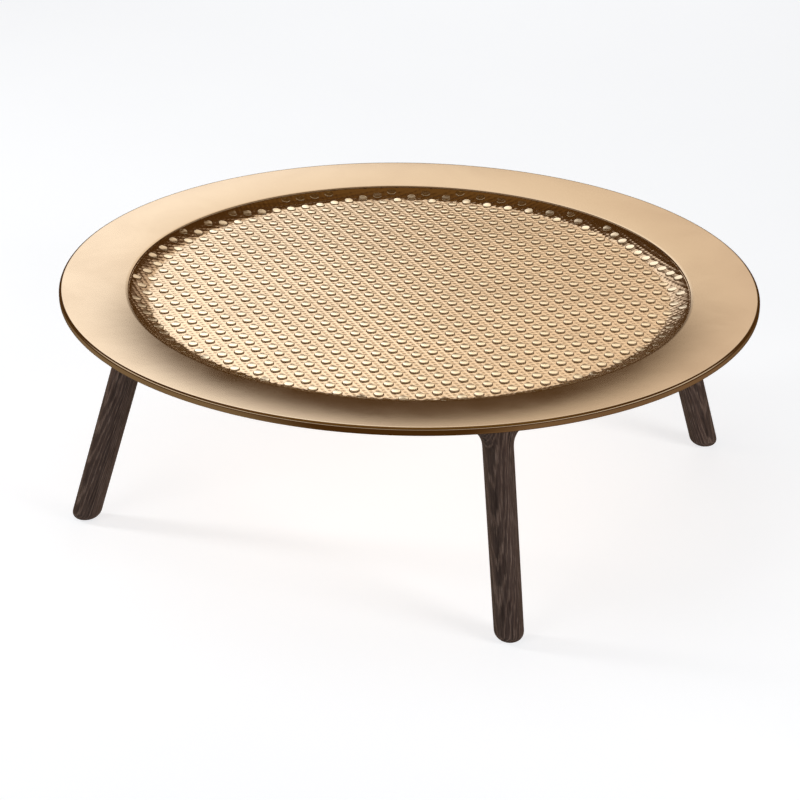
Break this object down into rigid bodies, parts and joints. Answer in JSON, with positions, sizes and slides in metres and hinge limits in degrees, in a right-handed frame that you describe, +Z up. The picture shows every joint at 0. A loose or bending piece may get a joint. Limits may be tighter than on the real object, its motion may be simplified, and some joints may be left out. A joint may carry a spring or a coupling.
{
  "type": "low round tray table",
  "caption": "Low round table with a wide smooth brass rim around a shallow embossed brass dish, on splayed round dark wooden legs.",
  "frame": {"origin": "on the floor, under the centre of the round top", "axes": "+Z up; the first leg stands 17 degrees round from +X towards +Y, and the others follow at right angles"},
  "size_m": [1, 1, 0.325],
  "materials": {
    "rim_brass": "satin spun brass",
    "dish_brass": "satin embossed brass",
    "ash_wood": "dark stained open-grain ash",
    "plywood": "birch plywood",
    "beech": "plain beech",
    "steel": "zinc-plated steel",
    "felt": "dense wool felt"
  },
  "bodies": {
    "root": {"brass_rim": "rim_brass", "embossed_dish": "dish_brass", "rim_core_ring": "plywood", "support_panel": "plywood", "frame_segment_1": "ash_wood", "joint_tongue_1": "beech", "leg_1": "ash_wood", "leg_insert_1": "steel", "leg_bolt_1": "steel", "leg_dowel_1": "beech", "foot_glide_1": "felt", "frame_segment_2": "ash_wood", "joint_tongue_2": "beech", "leg_2": "ash_wood", "leg_insert_2": "steel", "leg_bolt_2": "steel", "leg_dowel_2": "beech", "foot_glide_2": "felt", "frame_segment_3": "ash_wood", "joint_tongue_3": "beech", "leg_3": "ash_wood", "leg_insert_3": "steel", "leg_bolt_3": "steel", "leg_dowel_3": "beech", "foot_glide_3": "felt", "frame_segment_4": "ash_wood", "joint_tongue_4": "beech", "leg_4": "ash_wood", "leg_insert_4": "steel", "leg_bolt_4": "steel", "leg_dowel_4": "beech", "foot_glide_4": "felt", "frame_screw_1": "steel", "core_screw_1": "steel", "frame_screw_2": "steel", "core_screw_2": "steel", "frame_screw_3": "steel", "core_screw_3": "steel", "frame_screw_4": "steel", "core_screw_4": "steel", "frame_screw_5": "steel", "core_screw_5": "steel", "frame_screw_6": "steel", "core_screw_6": "steel", "frame_screw_7": "steel", "core_screw_7": "steel", "frame_screw_8": "steel", "core_screw_8": "steel"}
  },
  "joints": []
}
